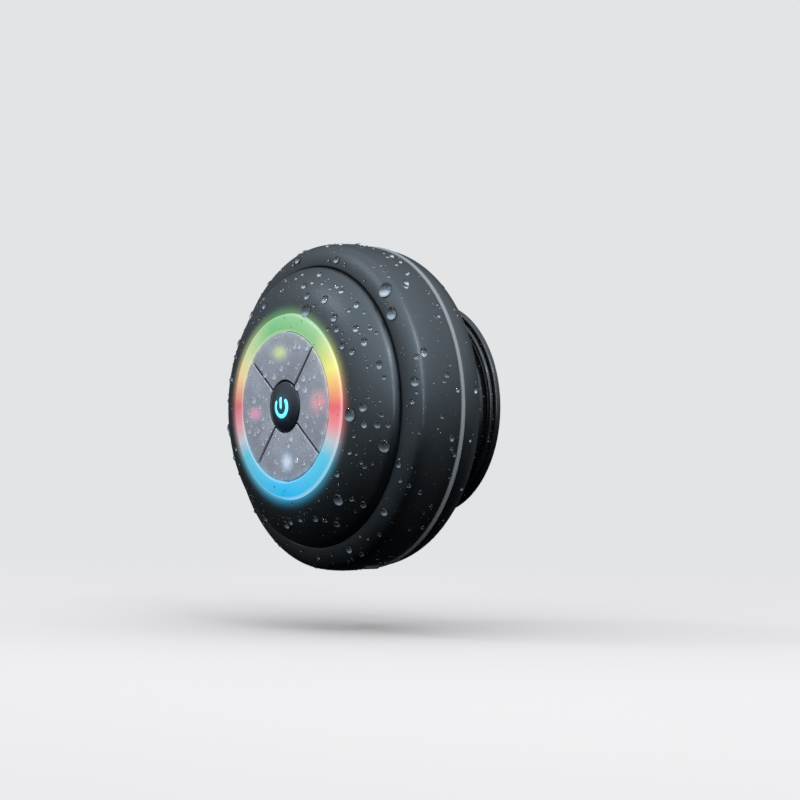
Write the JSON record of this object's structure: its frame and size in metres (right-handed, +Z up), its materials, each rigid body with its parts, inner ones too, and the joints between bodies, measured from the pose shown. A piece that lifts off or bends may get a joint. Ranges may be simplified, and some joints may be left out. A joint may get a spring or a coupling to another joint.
{
  "type": "shower speaker",
  "caption": "Round splash-proof loudspeaker on a suction cup, with a glowing ring round a disc of touch keys, a power button and a flap over its charging port.",
  "frame": {"origin": "centre of the suction cup's pad, on the wall's surface", "axes": "+Y along the speaker's round axis into the wall, so the keys face -Y; +Z up; +X to the right as seen from the front"},
  "size_m": [0.0858, 0.0505, 0.0859],
  "materials": {
    "soft_black": "soft-touch, fine matte grain",
    "gloss_black": "high gloss",
    "cup_rubber": "glossy, slightly tacky",
    "trim_metal": "satin, circular brushing",
    "diffuser": "milky diffuser, lit from behind in changing colours",
    "smoke_plastic": "smoked translucent, satin",
    "icon_cyan": "clear light pipe, lit cyan",
    "silicone": "matte translucent silicone",
    "circuit_board": "solder mask over glass laminate",
    "black_plastic": "moulded, fine texture",
    "steel": "zinc plated",
    "ferrite": "sintered ceramic magnet",
    "cone_paper": "pressed pulp",
    "copper": "enamelled copper winding",
    "battery_foil": "laminated pouch foil with tape edges",
    "foam": "closed-cell foam and woven cloth",
    "cable_red": "extruded insulation",
    "led_white": "moulded chip package"
  },
  "bodies": {
    "cup": {"suction_cup": "cup_rubber", "cup_hub": "gloss_black"},
    "housing": {"main_shell": "soft_black", "front_dome": "soft_black", "rear_shell": "soft_black", "trim_ring": "trim_metal", "housing_seal": "silicone", "light_ring": "diffuser", "keypad_membrane": "cup_rubber", "case_screw_1": "steel", "case_screw_2": "steel", "case_screw_3": "steel", "case_screw_4": "steel", "switch_top": "steel", "switch_right": "steel", "switch_bottom": "steel", "switch_left": "steel", "switch_power": "steel", "main_board": "circuit_board", "bluetooth_module": "black_plastic", "battery": "battery_foil", "charge_board": "circuit_board", "usb_socket": "steel", "microphone": "steel", "battery_cable": "cable_red", "speaker_cable": "cable_red", "charge_cable": "cable_red", "board_screw_1": "steel", "board_screw_2": "steel", "board_screw_3": "steel", "led_1": "led_white", "led_2": "led_white", "led_3": "led_white", "led_4": "led_white", "led_5": "led_white", "led_6": "led_white", "driver_baffle": "black_plastic", "driver_gasket": "foam", "grille_cloth": "foam", "driver_basket": "steel", "driver_top_plate": "steel", "driver_magnet": "ferrite", "driver_yoke": "steel", "driver_surround": "cup_rubber", "driver_spider": "cone_paper"},
    "power_button": {"power_button": "gloss_black", "power_icon": "icon_cyan"},
    "usb_cover": {"usb_cover": "cup_rubber"},
    "speaker_cone": {"driver_cone": "cone_paper", "driver_dust_cap": "cone_paper", "voice_coil": "copper"},
    "key_top": {"key_top": "smoke_plastic"},
    "plunger_top": {"plunger_top": "black_plastic"},
    "key_right": {"key_right": "smoke_plastic"},
    "plunger_right": {"plunger_right": "black_plastic"},
    "key_bottom": {"key_bottom": "smoke_plastic"},
    "plunger_bottom": {"plunger_bottom": "black_plastic"},
    "key_left": {"key_left": "smoke_plastic"},
    "plunger_left": {"plunger_left": "black_plastic"},
    "plunger_power": {"plunger_power": "black_plastic"}
  },
  "joints": [
    {"name": "twist_off", "type": "hinge", "parent": "cup", "child": "housing", "pos_m": [0, -0.0176, 0], "axis": [0, -1, 0], "range_deg": [0, 60]},
    {"name": "cover_flap", "type": "hinge", "parent": "housing", "child": "usb_cover", "pos_m": [-0.00257, -0.029, -0.04223], "axis": [0, 1, 0], "range_deg": [0, 115]},
    {"name": "cone_stroke", "type": "slide", "parent": "housing", "child": "speaker_cone", "axis": [0, 1, 0], "range_m": [-0.0008, 0.0008], "stiffness_N_per_m": 900, "deforming": ["driver_surround", "driver_spider"]},
    {"name": "power_press", "type": "slide", "parent": "housing", "child": "power_button", "axis": [0, 1, 0], "range_m": [0, 0.0003], "stiffness_N_per_m": 4000, "deforming": ["keypad_membrane"]},
    {"name": "top_press", "type": "slide", "parent": "housing", "child": "key_top", "axis": [0, 1, 0], "range_m": [0, 0.0003], "stiffness_N_per_m": 4000, "deforming": ["keypad_membrane"]},
    {"name": "right_press", "type": "slide", "parent": "housing", "child": "key_right", "axis": [0, 1, 0], "range_m": [0, 0.0003], "stiffness_N_per_m": 4000, "deforming": ["keypad_membrane"]},
    {"name": "bottom_press", "type": "slide", "parent": "housing", "child": "key_bottom", "axis": [0, 1, 0], "range_m": [0, 0.0003], "stiffness_N_per_m": 4000, "deforming": ["keypad_membrane"]},
    {"name": "left_press", "type": "slide", "parent": "housing", "child": "key_left", "axis": [0, 1, 0], "range_m": [0, 0.0003], "stiffness_N_per_m": 4000, "deforming": ["keypad_membrane"]},
    {"name": "top_plunge", "type": "slide", "parent": "housing", "child": "plunger_top", "axis": [0, 1, 0], "range_m": [0, 0.0003]},
    {"name": "right_plunge", "type": "slide", "parent": "housing", "child": "plunger_right", "axis": [0, 1, 0], "range_m": [0, 0.0003]},
    {"name": "bottom_plunge", "type": "slide", "parent": "housing", "child": "plunger_bottom", "axis": [0, 1, 0], "range_m": [0, 0.0003]},
    {"name": "left_plunge", "type": "slide", "parent": "housing", "child": "plunger_left", "axis": [0, 1, 0], "range_m": [0, 0.0003]},
    {"name": "power_plunge", "type": "slide", "parent": "housing", "child": "plunger_power", "axis": [0, 1, 0], "range_m": [0, 0.0003]}
  ],
  "couplings": [
    {"joint": "top_plunge", "follows": "top_press", "ratio": 1},
    {"joint": "right_plunge", "follows": "right_press", "ratio": 1},
    {"joint": "bottom_plunge", "follows": "bottom_press", "ratio": 1},
    {"joint": "left_plunge", "follows": "left_press", "ratio": 1},
    {"joint": "power_plunge", "follows": "power_press", "ratio": 1}
  ]
}
